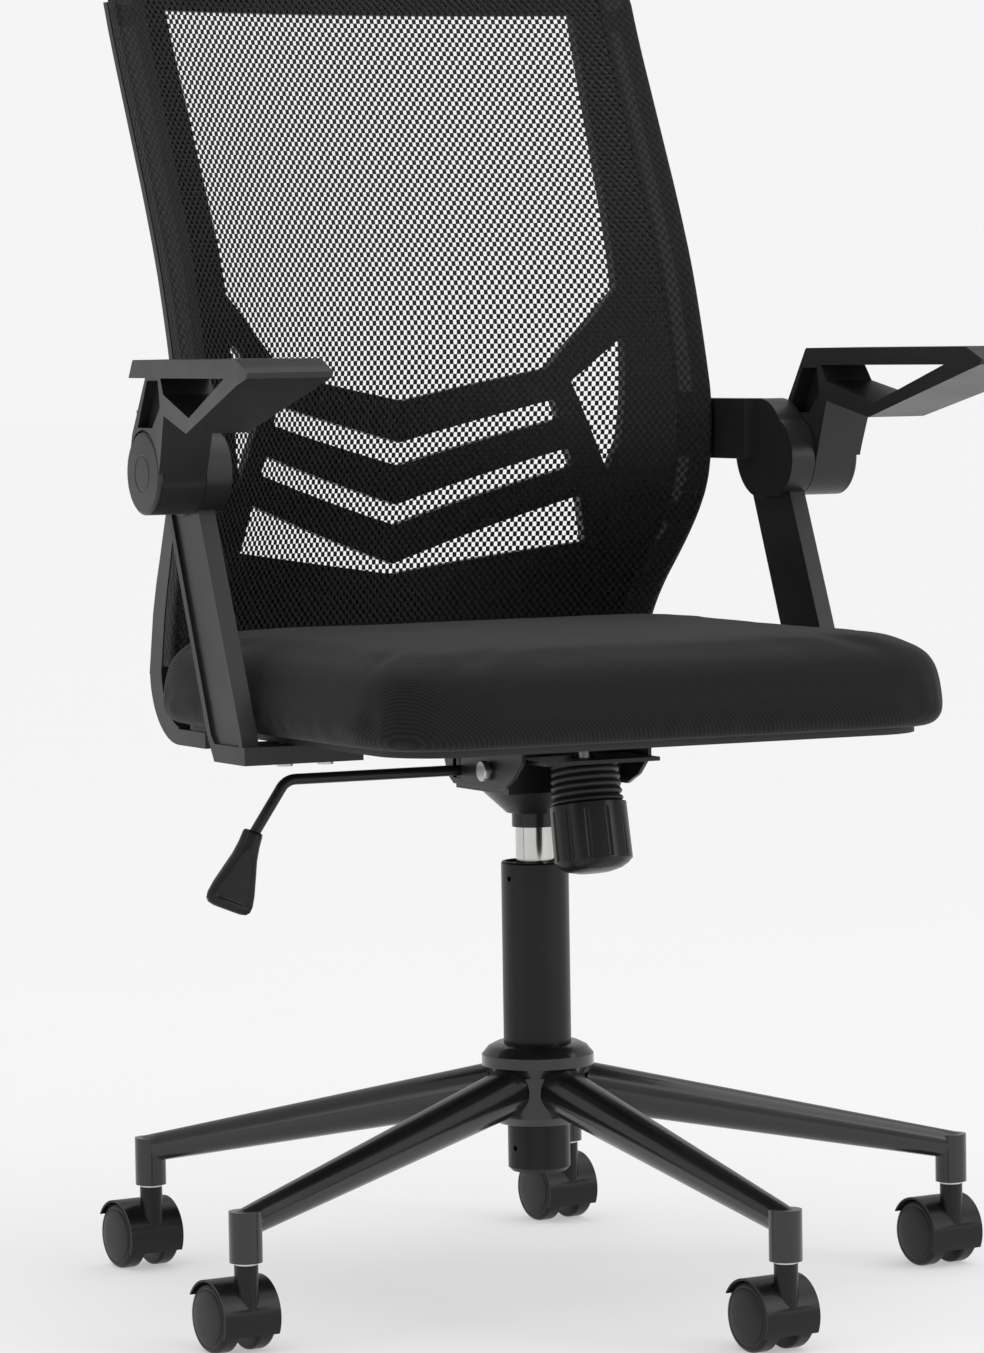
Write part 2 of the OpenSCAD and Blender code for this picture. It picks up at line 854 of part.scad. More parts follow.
back_low = 462;
low_half = 204;
top_round = 42;
frame_in = 21;
frame_gap = 1;
function round_in(z) = z < back_top - top_round ? 0
    : top_round - sqrt(max(0, top_round * top_round - pow(z - back_top + top_round, 2)));
function half_w_at(z) = back_half - (back_half - low_half) * smooth(max(0, min(1, (600 - z) / 138)))
    - round_in(z);
function row_z(k, n) = back_low + (back_top - back_low) * k / n;

// Closed slab between a front and a back sheet of points, rows upward and columns to +X.
module slab(front, back) {
    rows = len(front);
    cols = len(front[0]);
    points = concat([for (r = front) for (p = r) p], [for (r = back) for (p = r) p]);
    function f(r, c) = r * cols + c;
    function b(r, c) = rows * cols + r * cols + c;
    polyhedron(points, concat(
        [for (r = [0:rows - 2]) for (c = [0:cols - 2]) [f(r, c), f(r + 1, c), f(r + 1, c + 1)]],
        [for (r = [0:rows - 2]) for (c = [0:cols - 2]) [f(r, c), f(r + 1, c + 1), f(r, c + 1)]],
        [for (r = [0:rows - 2]) for (c = [0:cols - 2]) [b(r, c), b(r + 1, c + 1), b(r + 1, c)]],
        [for (r = [0:rows - 2]) for (c = [0:cols - 2]) [b(r, c), b(r, c + 1), b(r + 1, c + 1)]],
        [for (c = [0:cols - 2]) [f(0, c), f(0, c + 1), b(0, c + 1)]],
        [for (c = [0:cols - 2]) [f(0, c), b(0, c + 1), b(0, c)]],
        [for (c = [0:cols - 2]) [f(rows - 1, c + 1), f(rows - 1, c), b(rows - 1, c)]],
        [for (c = [0:cols - 2]) [f(rows - 1, c + 1), b(rows - 1, c), b(rows - 1, c + 1)]],
        [for (r = [0:rows - 2]) [f(r + 1, 0), f(r, 0), b(r, 0)]],
        [for (r = [0:rows - 2]) [f(r + 1, 0), b(r, 0), b(r + 1, 0)]],
        [for (r = [0:rows - 2]) [f(r, cols - 1), f(r + 1, cols - 1), b(r + 1, cols - 1)]],
        [for (r = [0:rows - 2]) [f(r, cols - 1), b(r + 1, cols - 1), b(r, cols - 1)]]));
}

// Sheet of points: a side wall, the front from side to side, and the other side wall.
side_depth = 18;
mesh_cols = [for (c = [-8:8]) c / 8];
function mesh_end(side, z, inset) = [side * (half_w_at(z) - inset), front_y(half_w_at(z), z) + side_depth, z];
function mesh_sheet(inset, n) = [for (k = [0:n])
    let (z = row_z(k, n))
    concat([mesh_end(-1, z, inset)],
        [for (c = mesh_cols) let (x = c * (half_w_at(z) - inset)) [x, front_y(x, z) + inset, z]],
        [mesh_end(1, z, inset)])];
frame_cols = [for (c = [-10:10]) c / 10];
function frame_sheet(set_back, n) = [for (k = [0:n]) [for (c = frame_cols)
    let (z = row_z(k, n) - 2 * k / n, x = c * (half_w_at(z) - frame_in))
    [x, front_y(x, z) + set_back, z]]];

mesh_rows = 30;
module back_mesh() {
    color(fabric_black)
        slab(mesh_sheet(0, mesh_rows), mesh_sheet(mesh_t, mesh_rows));
}

// Openings of the frame, as half outlines in the X-Z plane from the middle outwards.
main_window = [[0, 658], [112, 681], [165, 741], [174, 957], [0, 957]];
slot_upper = [[0, 608], [122, 642], [117, 657], [0, 626]];
slot_middle = [[0, 562], [133, 605], [128, 619], [0, 578]];
slot_lower = [[0, 524], [147, 546], [139, 582], [0, 532]];
side_window = [[167, 706], [129, 671], [156, 600], [163, 626], [165, 654]];

module through(half) {
    depth = 400;
    translate([0, depth, 0])
        rotate([90, 0, 0])
            linear_extrude(depth) {
                polygon(half);
                mirror([1, 0, 0]) polygon(half);
            }
}

// Border behind the mesh's side wall, which grows deeper and wider towards the legs.
rim_gap = 2;
rim_front = side_depth + rim_gap;
rim_t = 4;
rim_d = 7;
rim_rows = 22;
rim_z_low = back_low - 7;
rim_z_top = back_top - top_round;
rim_wide_z = 560;
rim_deep_z = 700;
function clamped(t) = max(0, min(1, t));
function rim_w_at(z) = rim_t + (j_w - rim_t) * smooth(clamped((rim_wide_z - z) / (rim_wide_z - back_low)));
function rim_d_at(z) = rim_d + 15 * smooth(clamped((rim_deep_z - z) / 200));
module rim(s) {
    zs = [for (k = [0:rim_rows]) rim_z_low + (rim_z_top - rim_z_low) * k / rim_rows];
    side(s)
        slab(
            [for (z = zs) [for (x = [half_w_at(z) - rim_w_at(z), half_w_at(z)])
                [x, front_y(half_w_at(z), z) + rim_front, z]]],
            [for (z = zs) [for (x = [half_w_at(z) - rim_w_at(z), half_w_at(z)])
                [x, front_y(half_w_at(z), z) + rim_front + rim_d_at(z), z]]]);
}

// Webs that carry the border on the front panel.
web_h = 16;
web_run = 30;
web_t = 6;
web_zs = [480, 560, 645, 945];
module web(s, z0) {
    side(s)
        slab(
            [for (z = [z0, z0 + web_h]) [for (x = [half_w_at(z) - web_run, half_w_at(z) - 1])
                [x, front_y(x, z) + (x < half_w_at(z) - frame_in ? 8 : rim_front), z]]],
            [for (z = [z0, z0 + web_h]) [for (x = [half_w_at(z) - web_run, half_w_at(z) - 1])
                [x, front_y(x, z) + (x < half_w_at(z) - frame_in ? 8 : rim_front) + web_t, z]]]);
}

// J-shaped leg of the frame, which turns forward under the seat.
j_out = 53;
j_t = 12;
j_y = 185;
j_z = 457;
j_w = 36;
j_taper = 10;
j_front = 136;
module j_leg(s) {
    side(s)
        translate([low_half - j_w, 0, 0])
            rotate([90, 0, 90])
                linear_extrude(j_w) {
                    difference() {
                        translate([j_y, j_z])
                            circle(r = j_out, $fn = round_fn);
                        translate([j_y - j_taper, j_z])
                            circle(r = j_out - j_t, $fn = round_fn);
                        translate([j_y - 100, j_z])
                            square([200, 100]);
                        translate([j_y - 100, j_z - 100])
                            square([100, 200]);
                    }
                    translate([j_front, j_z - j_out])
                        square([j_y - j_front, j_t]);
                }
}

module back_frame() {
    n = 30;
    boss_y = lug_screw_y - 15;
    color(black_plastic)
        difference() {
            union() {
                difference() {
                    slab(frame_sheet(mesh_t + frame_gap, n), frame_sheet(mesh_t + frame_gap + frame_t, n));
                    through(main_window);
                    through(slot_upper);
                    through(slot_middle);
                    through(slot_lower);
                    through(side_window);
                }
                for (s = [-1, 1]) {
                    rim(s);
                    j_leg(s);
                    for (z = web_zs)
                        web(s, z);
                    side(s)
                        translate([lug_in - 22, boss_y, lug_low + 2])
                            cube([21.7, 29, lug_top - lug_low - 4]);
                }
            }
            for (s = [-1, 1])
                side(s)
                    for (z = lug_screw_z)
                        translate([0, lug_screw_y, z])
                            x_rod(2.5, 195, 230);
            for (p = leg_bolts)
                translate([p[0], p[1], j_z - j_out - 5])
                    cylinder(h = j_t + 10, r = 3, $fn = round_fn);
        }
}

// ---- fasteners ----
module bolt_up(p, z_head, z_tip) {
    translate([p[0], p[1], z_head - 3.5])
        cylinder(h = 3.5, r = 6, $fn = round_fn);
    translate([p[0], p[1], z_head])
        cylinder(h = z_tip - z_head, r = 2.98, $fn = round_fn);
}

module seat_bolts() {
    tip = seat_bottom + board_t - 1;
    color(steel) {
        for (p = bolt_holes)
            bolt_up(p, plate_low, tip);
        for (p = foot_bolts)
            bolt_up(p, foot_top - foot_t, tip);
        for (p = leg_bolts)
            bolt_up(p, j_z - j_out, tip);
        for (s = [-1, 1])
            side(s)
                for (z = lug_screw_z)
                    translate([0, lug_screw_y, z]) {
                        x_rod(2.48, 204, lug_in + 18);
                        x_rod(5, lug_in + 18, lug_in + 21);
                    }
    }
}

base_hub();
leg(1);  // leg_1
leg(2);  // leg_2
leg(3);  // leg_3
leg(4);  // leg_4
leg(5);  // leg_5
stand_tube();
guide_bush();
thrust_bearing();
rod_clip();
caster_hood(1);  // caster_1_hood
caster_stem(1);  // caster_1_stem
caster_axle(1);  // caster_1_axle
caster_wheel(1, -1);  // caster_1_wheel_right
caster_wheel(1, 1);  // caster_1_wheel_left
caster_hood(2);  // caster_2_hood
caster_stem(2);  // caster_2_stem
caster_axle(2);  // caster_2_axle
caster_wheel(2, -1);  // caster_2_wheel_right
caster_wheel(2, 1);  // caster_2_wheel_left
caster_hood(3);  // caster_3_hood
caster_stem(3);  // caster_3_stem
caster_axle(3);  // caster_3_axle
caster_wheel(3, -1);  // caster_3_wheel_right
caster_wheel(3, 1);  // caster_3_wheel_left
caster_hood(4);  // caster_4_hood
caster_stem(4);  // caster_4_stem
caster_axle(4);  // caster_4_axle
caster_wheel(4, -1);  // caster_4_wheel_right
caster_wheel(4, 1);  // caster_4_wheel_left
caster_hood(5);  // caster_5_hood
caster_stem(5);  // caster_5_stem
caster_axle(5);  // caster_5_axle
caster_wheel(5, -1);  // caster_5_wheel_right
caster_wheel(5, 1);  // caster_5_wheel_left
piston_rod();
gas_cylinder();
release_pin();
mechanism_housing();
tilt_pin();
lever_sleeve();
lift_lever();
lever_handle();
seat_plate();
tension_bolt();
tension_spring();
spring_cover();
tension_knob();
seat_board();
seat_cushion();
seat_bolts();
back_frame();
back_mesh();
arm_bracket(-1);  // arm_bracket_right
arm_bracket(1);  // arm_bracket_left
arm_pivot_bolts();
armrest(-1);  // armrest_right
armrest(1);  // armrest_left
arm_cap(-1);  // arm_cap_right
arm_cap(1);  // arm_cap_left
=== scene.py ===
"""Looks of a swivel office chair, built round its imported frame."""
import json
import math

import bmesh
import bpy
from mathutils import Matrix, Vector, noise


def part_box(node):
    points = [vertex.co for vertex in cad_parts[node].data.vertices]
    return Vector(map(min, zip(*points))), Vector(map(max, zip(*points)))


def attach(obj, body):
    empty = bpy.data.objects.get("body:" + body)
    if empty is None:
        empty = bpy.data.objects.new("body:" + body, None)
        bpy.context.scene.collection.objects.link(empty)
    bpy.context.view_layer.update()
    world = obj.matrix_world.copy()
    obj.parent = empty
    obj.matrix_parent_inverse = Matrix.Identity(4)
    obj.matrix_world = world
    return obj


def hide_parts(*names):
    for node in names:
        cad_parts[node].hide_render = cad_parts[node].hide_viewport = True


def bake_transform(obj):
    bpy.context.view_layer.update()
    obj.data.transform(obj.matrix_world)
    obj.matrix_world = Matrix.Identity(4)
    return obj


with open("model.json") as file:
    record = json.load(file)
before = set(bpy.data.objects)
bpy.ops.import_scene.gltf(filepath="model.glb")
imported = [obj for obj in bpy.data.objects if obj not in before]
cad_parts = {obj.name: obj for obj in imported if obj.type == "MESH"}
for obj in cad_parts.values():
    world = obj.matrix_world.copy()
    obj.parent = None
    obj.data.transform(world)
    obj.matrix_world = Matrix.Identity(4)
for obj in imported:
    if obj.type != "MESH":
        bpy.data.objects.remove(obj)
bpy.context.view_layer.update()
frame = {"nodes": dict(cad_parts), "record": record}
nodes = frame["nodes"]
node_body = {n: body for body, names in frame["record"]["behaviour"]["bodies"].items() for n in names}
MM = 0.001

# ---------------------------------------------------------------- materials


class Look:
    """A material of nodes round one Principled shader, placed by object coordinates in metres."""

    def __init__(self, name, color, **sockets):
        self.mat = bpy.data.materials.new(name)
        self.mat.use_nodes = True
        self.tree = self.mat.node_tree
        self.bsdf = self.tree.nodes["Principled BSDF"]
        self.color = color
        for key, value in sockets.items():
            self.bsdf.inputs[key.replace("_", " ")].default_value = value
        self.place = self.tree.nodes.new("ShaderNodeTexCoord").outputs["Object"]
        self.normal = None

    def node(self, kind, *values, **props):
        n = self.tree.nodes.new("ShaderNode" + kind)
        for key, value in props.items():
            setattr(n, key, value)
        for socket, value in zip(n.inputs, values):
            self.feed(socket, value)
        return n

    def feed(self, socket, value):
        if isinstance(value, bpy.types.NodeSocket):
            self.tree.links.new(value, socket)
        elif value is not None:
            socket.default_value = value

    def set(self, key, value):
        self.feed(self.bsdf.inputs[key], value)

    def math(self, operation, *values):
        return self.node("Math", *values, operation=operation).outputs[0]

    def stretched(self, scale):
        return self.node("Mapping", self.place, None, None, scale).outputs[0]

    def noise(self, scale, detail=3.0, vector=None):
        n = self.node("TexNoise", vector or self.place)
        n.inputs["Scale"].default_value = scale
        n.inputs["Detail"].default_value = detail
        return n.outputs["Fac"]

    def ramp(self, value, from_low, from_high, to_low, to_high):
        return self.node("MapRange", value, from_low, from_high, to_low, to_high).outputs[0]

    def blend(self, factor, a, b):
        n = self.node("Mix", data_type="RGBA")
        self.feed(n.inputs["Factor"], factor)
        self.feed(n.inputs["A"], (*a, 1) if isinstance(a, tuple) else a)
        self.feed(n.inputs["B"], (*b, 1) if isinstance(b, tuple) else b)
        return n.outputs["Result"]

    def bump(self, height, strength, distance):
        n = self.node("Bump")
        n.inputs["Strength"].default_value = strength
        n.inputs["Distance"].default_value = distance
        self.feed(n.inputs["Height"], height)
        self.feed(n.inputs["Normal"], self.normal)
        self.normal = n.outputs["Normal"]

    def vary(self, factor, share):
        """Base colour that runs from its own tone to share times as light."""
        lighter = tuple(min(1.0, c * share) for c in self.color)
        self.set("Base Color", self.blend(factor, self.color, lighter))

    def done(self):
        if self.normal is not None:
            self.set("Normal", self.normal)
        return self.mat


def times(tone, share):
    return tuple(c * share for c in tone)


def moulded(name, tone, rough, grain=1400.0, depth=0.00006, specular=0.5):
    """Injection-moulded plastic: fine spark-eroded grain, cloudy gloss and a faint painted highlight along
    sharp edges.
    """
    look = Look(name, tone, Specular_IOR_Level=specular)
    cloud = look.noise(22.0, 4.0)
    fine = look.noise(grain, 2.0)
    # painted highlight: edges that pointiness finds sharp get a lighter base colour, blended towards 1.9
    # times the tone
    highlight_pointiness = look.node("NewGeometry").outputs["Pointiness"]
    edge = look.ramp(highlight_pointiness, 0.52, 0.62, 0.0, 1.0)
    mottled = look.blend(look.ramp(cloud, 0.3, 0.7, 0.0, 1.0), tone, times(tone, 1.22))
    look.set("Base Color", look.blend(look.math("MULTIPLY", edge, 0.35), mottled, times(tone, 1.9)))
    cloudy_gloss = look.ramp(cloud, 0.3, 0.7, -0.035, 0.035)
    fine_gloss = look.ramp(fine, 0.3, 0.7, rough - 0.03, rough + 0.03)
    look.set("Roughness", look.math("ADD", cloudy_gloss, fine_gloss))
    look.bump(fine, 0.55, depth)
    return look.done()


def painted(name, tone, rough, peel=420.0, coat=0.0, specular=0.5):
    """Black powder coat: orange peel, slight smears in the gloss and a few dust specks."""
    look = Look(name, tone, Coat_Weight=coat, Coat_Roughness=0.12, Specular_IOR_Level=specular)
    smear = look.noise(14.0, 5.0, look.stretched((1.0, 1.0, 0.35)))
    speck = look.ramp(look.noise(900.0, 1.0), 0.74, 0.8, 0.0, 1.0)
    mottled = look.blend(look.ramp(smear, 0.35, 0.7, 0.0, 1.0), tone, times(tone, 1.3))
    look.set("Base Color", look.blend(look.math("MULTIPLY", speck, 0.25), mottled, (0.2, 0.2, 0.2)))
    look.set("Roughness", look.ramp(smear, 0.3, 0.75, rough - 0.04, rough + 0.07))
    look.bump(look.noise(peel, 2.0), 0.35, 0.00005)
    return look.done()


def metal(name, tone, rough, brushed=(40.0, 40.0, 900.0), spread=0.08):
    """Bare or plated metal with drawn lines and a slightly cloudy finish."""
    look = Look(name, tone, Metallic=1.0)
    lines = look.noise(1.0, 3.0, look.stretched(brushed))
    cloud = look.noise(30.0, 4.0)
    look.set("Base Color", look.blend(look.ramp(cloud, 0.35, 0.7, 0.0, 1.0), tone, times(tone, 0.86)))
    look.set("Roughness", look.ramp(look.math("ADD", lines, cloud), 0.7, 1.3, rough, rough + spread))
    look.bump(lines, 0.15, 0.00003)
    return look.done()


def rubber(name, tone):
    look = Look(name, tone, Specular_IOR_Level=0.45)
    dust = look.noise(60.0, 5.0)
    look.vary(look.ramp(dust, 0.4, 0.75, 0.0, 1.0), 1.6)
    look.set("Roughness", look.ramp(dust, 0.3, 0.7, 0.42, 0.58))
    look.bump(look.noise(1100.0, 2.0), 0.4, 0.00005)
    return look.done()


TWILL_LINE = 3.4 * MM   # spacing of the twill lines, measured along an axis
WAVE_UNIT = 0.6283      # length of one band of a wave texture of scale 1


def twill(name, tone):
    """Woven polyester: steep diagonal ribs, crossed by fine threads, with a soft sheen."""
    look = Look(name, tone, Sheen_Weight=0.12, Sheen_Roughness=0.45, Specular_IOR_Level=0.25)
    look.bsdf.inputs["Sheen Tint"].default_value = (0.75, 0.76, 0.76, 1)
    scale = WAVE_UNIT / TWILL_LINE
    rib = look.node("TexWave", look.stretched((1.0, 0.85, 1.0)), scale, 0.6, 1.0, 3.0,
                    bands_direction="DIAGONAL")
    thread = look.node("TexWave", look.stretched((1.0, -1.15, -1.0)), scale * 1.7, 0.4, 1.0, 3.0,
                       bands_direction="DIAGONAL")
    weave = look.math("ADD", look.math("MULTIPLY", rib.outputs["Fac"], 0.75),
                      look.math("MULTIPLY", thread.outputs["Fac"], 0.25))
    slub = look.noise(260.0, 3.0)
    shade = look.math("MULTIPLY", weave, look.ramp(slub, 0.3, 0.7, 0.75, 1.15))
    look.vary(shade, 2.4)
    look.set("Roughness", look.ramp(weave, 0.0, 1.0, 0.92, 0.72))
    look.bump(look.noise(7.0, 3.0), 0.25, 0.004)
    look.bump(weave, 0.45, 0.0004)
    return look.done()


HOLE_X = 5.9 * MM   # distance between holes of one row
HOLE_Y = 7.6 * MM   # distance between a row and the next one that lines up with it
HEM = 3.8 * MM      # width of the closed hem along every border
LINING = 41 * MM    # width of the strip along each side where a second layer half closes the holes
LINED = 0.86        # share of a hole that the second layer closes


def open_mesh(name, tone):
    """Knitted spacer mesh with staggered holes.

    UV layer "cloth" holds metres along the cloth, and "hem" the distances to its side and end borders.
    """
    look = Look(name, tone, Sheen_Weight=0.03, Specular_IOR_Level=0.25)
    uv = look.node("UVMap", uv_map="cloth").outputs["UV"]
    split = look.node("SeparateXYZ", uv)
    across = look.math("COSINE", look.math("MULTIPLY", split.outputs[0], 2 * math.pi / HOLE_X))
    along = look.math("COSINE", look.math("MULTIPLY", split.outputs[1], 2 * math.pi / HOLE_Y))
    lattice = look.math("MULTIPLY", across, along)
    yarn = look.node("TexWave", uv, 2.0 * WAVE_UNIT / HOLE_X, 1.2, 2.0, 2.0, bands_direction="DIAGONAL")
    tone_map = look.math("MULTIPLY", yarn.outputs["Fac"], look.ramp(lattice, -1.0, 0.4, 1.0, 0.3))
    look.vary(tone_map, 2.6)
    look.set("Roughness", look.ramp(yarn.outputs["Fac"], 0.0, 1.0, 0.8, 0.5))
    border = look.node("SeparateXYZ", look.node("UVMap", uv_map="hem").outputs["UV"])
    nearest = look.math("MINIMUM", border.outputs[0], border.outputs[1])
    hem = look.ramp(nearest, HEM - 0.2 * MM, HEM + 0.2 * MM, 1.0, 0.0)
    lining = look.ramp(border.outputs[0], LINING - 1.0 * MM, LINING + 0.5 * MM, LINED, 0.0)
    yarns = look.ramp(lattice, -0.02, 0.03, 1.0, 0.0)
    look.set("Alpha", look.math("MAXIMUM", look.math("MAXIMUM", hem, lining), yarns))
    look.bump(look.math("MULTIPLY", lattice, -1.0), 0.6, 0.0004)
    look.bump(yarn.outputs["Fac"], 0.4, 0.0002)
    return look.done()


LOOKS = {
    "frame_plastic": moulded("frame_plastic", (0.013, 0.013, 0.0125), 0.38, 1400.0, 0.00006, 0.42),
    "cap_plastic": moulded("cap_plastic", (0.017, 0.017, 0.0165), 0.36, 1400.0, 0.00006, 0.42),
    "board_plastic": moulded("board_plastic", (0.016, 0.016, 0.016), 0.62, 700.0),
    "base_paint": painted("base_paint", (0.007, 0.007, 0.007), 0.24, 380.0, 0.35),
    "tube_paint": painted("tube_paint", (0.006, 0.006, 0.006), 0.36, 520.0, 0.0, 0.28),
    "dark_steel": painted("dark_steel", (0.008, 0.008, 0.008), 0.30, 460.0, 0.0, 0.4),
    "bright_steel": metal("bright_steel", (0.66, 0.66, 0.67), 0.26),
    "chrome_steel": metal("chrome_steel", (0.60, 0.60, 0.58), 0.15, (260.0, 260.0, 4.0), 0.06),
    "caster_plastic": moulded("caster_plastic", (0.006, 0.006, 0.006), 0.30, 1600.0, 0.00003, 0.3),
    "wheel_plastic": moulded("wheel_plastic", (0.006, 0.006, 0.006), 0.32, 1500.0, 0.00004, 0.3),
    "knob_plastic": moulded("knob_plastic", (0.006, 0.006, 0.006), 0.30, 1500.0, 0.00004, 0.32),
    "bellows_rubber": rubber("bellows_rubber", (0.010, 0.010, 0.010)),
    "seat_fabric": twill("seat_fabric", (0.0036, 0.0036, 0.0036)),
    "mesh_fabric": open_mesh("mesh_fabric", (0.0055, 0.0058, 0.0058)),
}
node_slot = {p["node"]: p["material_slot"] for p in frame["record"]["subparts"]}


def wear(obj, slot):
    obj.data.materials.clear()
    obj.data.materials.append(LOOKS[slot])


# ---------------------------------------------------------------- mesh helpers


def add_object(name, mesh, body, slot, *replaced):
    obj = bpy.data.objects.new(name, mesh)
    bpy.context.scene.collection.objects.link(obj)
    wear(obj, slot)
    if body:
        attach(obj, body)
    if replaced:
        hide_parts(*replaced)
    return obj


def mesh_from(name, verts, faces, sharp_deg=40.0):
    mesh = bpy.data.meshes.new(name)
    mesh.from_pydata([tuple(v) for v in verts], [], faces)
    mesh.validate()
    soften_shading(mesh, sharp_deg)
    return mesh


def soften_shading(mesh, sharp_deg):
    mesh.shade_smooth()
    mesh.set_sharp_from_angle(angle=math.radians(sharp_deg))


def weigh_normals(obj):
    mod = obj.modifiers.new("weighted", "WEIGHTED_NORMAL")
    mod.keep_sharp = True


WELD = 0.004 * MM         # points nearer than this are one
SHORTEST_EDGE = 0.02 * MM
SHARP_DEG = 35.0          # edges sharper than this keep a crease in the shading


def rounded_copy(node, width, segments=2, angle=28.0, flat_deg=0.6):
    """Copy of a CAD node with every hard edge rounded, which stands for the node."""
    bm = bmesh.new()
    bm.from_mesh(nodes[node].data)
    bmesh.ops.remove_doubles(bm, verts=bm.verts, dist=WELD)
    bmesh.ops.dissolve_limit(bm, angle_limit=math.radians(flat_deg), verts=bm.verts, edges=bm.edges)
    bmesh.ops.dissolve_degenerate(bm, dist=SHORTEST_EDGE, edges=bm.edges)
    hard = [e for e in bm.edges if len(e.link_faces) == 2 and e.calc_face_angle(0.0) > math.radians(angle)]
    bmesh.ops.bevel(bm, geom=hard, offset=width, offset_type="OFFSET", segments=segments, profile=0.5,
                    affect="EDGES", clamp_overlap=True)
    mesh = bpy.data.meshes.new(node + "_finish")
    bm.to_mesh(mesh)
    bm.free()
    soften_shading(mesh, SHARP_DEG)
    obj = add_object(node + "_finish", mesh, node_body[node], node_slot[node], node)
    weigh_normals(obj)
    return obj


def lathe(profile, steps, place):
    """Closed solid of revolution about the Z axis of place, from (radius, height) pairs in mm."""
    verts, faces = [], []
    for r, z in profile:
        for k in range(steps):
            a = 2 * math.pi * k / steps
            verts.append(place @ Vector((r * MM * math.cos(a), r * MM * math.sin(a), z * MM)))
    rows = len(profile)
    for j in range(rows):
        for k in range(steps):
            a, b = j * steps + k, j * steps + (k + 1) % steps
            up = ((j + 1) % rows) * steps
            faces.append((a, b, up + (k + 1) % steps, up + k))
    return verts, faces


# ---------------------------------------------------------------- hard parts

# radius of the rounded edges of each node, in mm
BEVELS = {
    "armrest_right": 2.2, "armrest_left": 2.2, "arm_bracket_right": 1.6, "arm_bracket_left": 1.6,
    "arm_cap_right": 0.8, "arm_cap_left": 0.8, "mechanism_housing": 0.8, "seat_plate": 0.5,
    "base_hub": 0.8, "stand_tube": 0.5, "tension_knob": 0.7, "lift_lever": 0.4,
    "tilt_pin": 0.8, "seat_board": 1.5, "gas_cylinder": 0.4, "seat_bolts": 0.4,
}
for i in range(1, 6):
    BEVELS[f"leg_{i}"] = 1.0
    BEVELS[f"caster_{i}_hood"] = 0.6
    BEVELS[f"caster_{i}_stem"] = 0.3
    BEVELS[f"caster_{i}_wheel_right"] = 0.5
    BEVELS[f"caster_{i}_wheel_left"] = 0.5
for node, width in BEVELS.items():
    rounded_copy(node, width * MM)
rounded_copy("back_frame", 1.0 * MM, 1, 35.0, 0.05)

# ---------------------------------------------------------------- handle of the lever

HANDLE_TILT = math.radians(22.0)
# height along the handle, half width, half depth and how round the section is (2 is an ellipse), in mm
HANDLE_RINGS = [
    (3.6, 4.2, 4.2, 2), (4.0, 6.6, 6.6, 2), (2.6, 7.5, 7.4, 2), (-6, 7.9, 7.9, 2.2), (-16, 9.4, 8.2, 2.6),
    (-28, 13.0, 7.4, 3.2), (-40, 16.6, 6.4, 3.6), (-48, 18.2, 5.7, 3.6), (-52.5, 17.8, 5.2, 3.4),
    (-55, 15.6, 4.4, 3), (-56, 11.5, 3.0, 2.6)
]


THUMB_TOP, THUMB_BOTTOM, THUMB_RIM, THUMB_DEPTH = -13.0, -50.5, 4.2, 1.3
HANDLE_SIDES, HANDLE_STEPS = 96, 5


def handle():
    """Rounded paddle with a shallow thumb panel in its front."""
    turn = Matrix.Rotation(HANDLE_TILT, 4, "Y")
    rings = []
    for a, b in zip(HANDLE_RINGS, HANDLE_RINGS[1:]):
        rings += [tuple(p + (q - p) * k / HANDLE_STEPS for p, q in zip(a, b)) for k in range(HANDLE_STEPS)]
    rings.append(HANDLE_RINGS[-1])
    verts, faces = [], []
    for z, wide, deep, power in rings:
        for k in range(HANDLE_SIDES):
            a = 2 * math.pi * k / HANDLE_SIDES
            c, s = math.cos(a), math.sin(a)
            reach = (abs(c) ** power + abs(s) ** power) ** (-1 / power)
            x, y = wide * reach * c, deep * reach * s
            inside = min((wide - THUMB_RIM - abs(x)) / 1.6, (z - THUMB_BOTTOM) / 2.0, (THUMB_TOP - z) / 2.5)
            if y < 0:
                y += THUMB_DEPTH * max(0.0, min(1.0, inside))
            verts.append(turn @ (Vector((x, y, z)) * MM))
    for j in range(len(rings) - 1):
        for k in range(HANDLE_SIDES):
            a, b = j * HANDLE_SIDES + k, j * HANDLE_SIDES + (k + 1) % HANDLE_SIDES
            faces.append((a, a + HANDLE_SIDES, b + HANDLE_SIDES, b))
    last = (len(rings) - 1) * HANDLE_SIDES
    faces.append(tuple(range(HANDLE_SIDES)))
    faces.append(tuple(last + k for k in reversed(range(HANDLE_SIDES))))
    # the paddle sits in the middle of its node's box
    low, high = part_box("lever_handle")
    seen_low = [min(v[i] for v in verts) for i in range(3)]
    seen_high = [max(v[i] for v in verts) for i in range(3)]
    shift = Vector([(low[i] + high[i] - seen_low[i] - seen_high[i]) / 2 for i in range(3)])
    mesh = mesh_from("lever_handle_finish", [v + shift for v in verts], faces, 50.0)
    add_object("lever_handle_finish", mesh, "lever", "knob_plastic", "lever_handle")


handle()

# ---------------------------------------------------------------- bellows and spring

BOLT_LEAN = math.radians(-11.0)
BOLT = Matrix.Translation((0, -0.080, 0.3985)) @ Matrix.Rotation(BOLT_LEAN, 4, "X")
# lower and upper end along the bolt, number of folds and steps in each fold
COVER_LOW, COVER_TOP, COVER_RINGS, COVER_STEPS = -31.7, 5.4, 7, 8
COVER_R, COVER_SWELL, COVER_TAPER, COVER_WALL = 23.2, 3.1, 0.3, 1.6
SHELF = 398.2 * MM      # underside of the shelf that the bellows and the spring bear on


def on_rocking_bolt(name, verts, faces, slot, replaced):
    """Adds a piece between shelf and knob, which the tilt of the seat squeezes."""
    obj = add_object(name, mesh_from(name, verts, faces, 60.0), None, slot, replaced)
    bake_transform(obj)


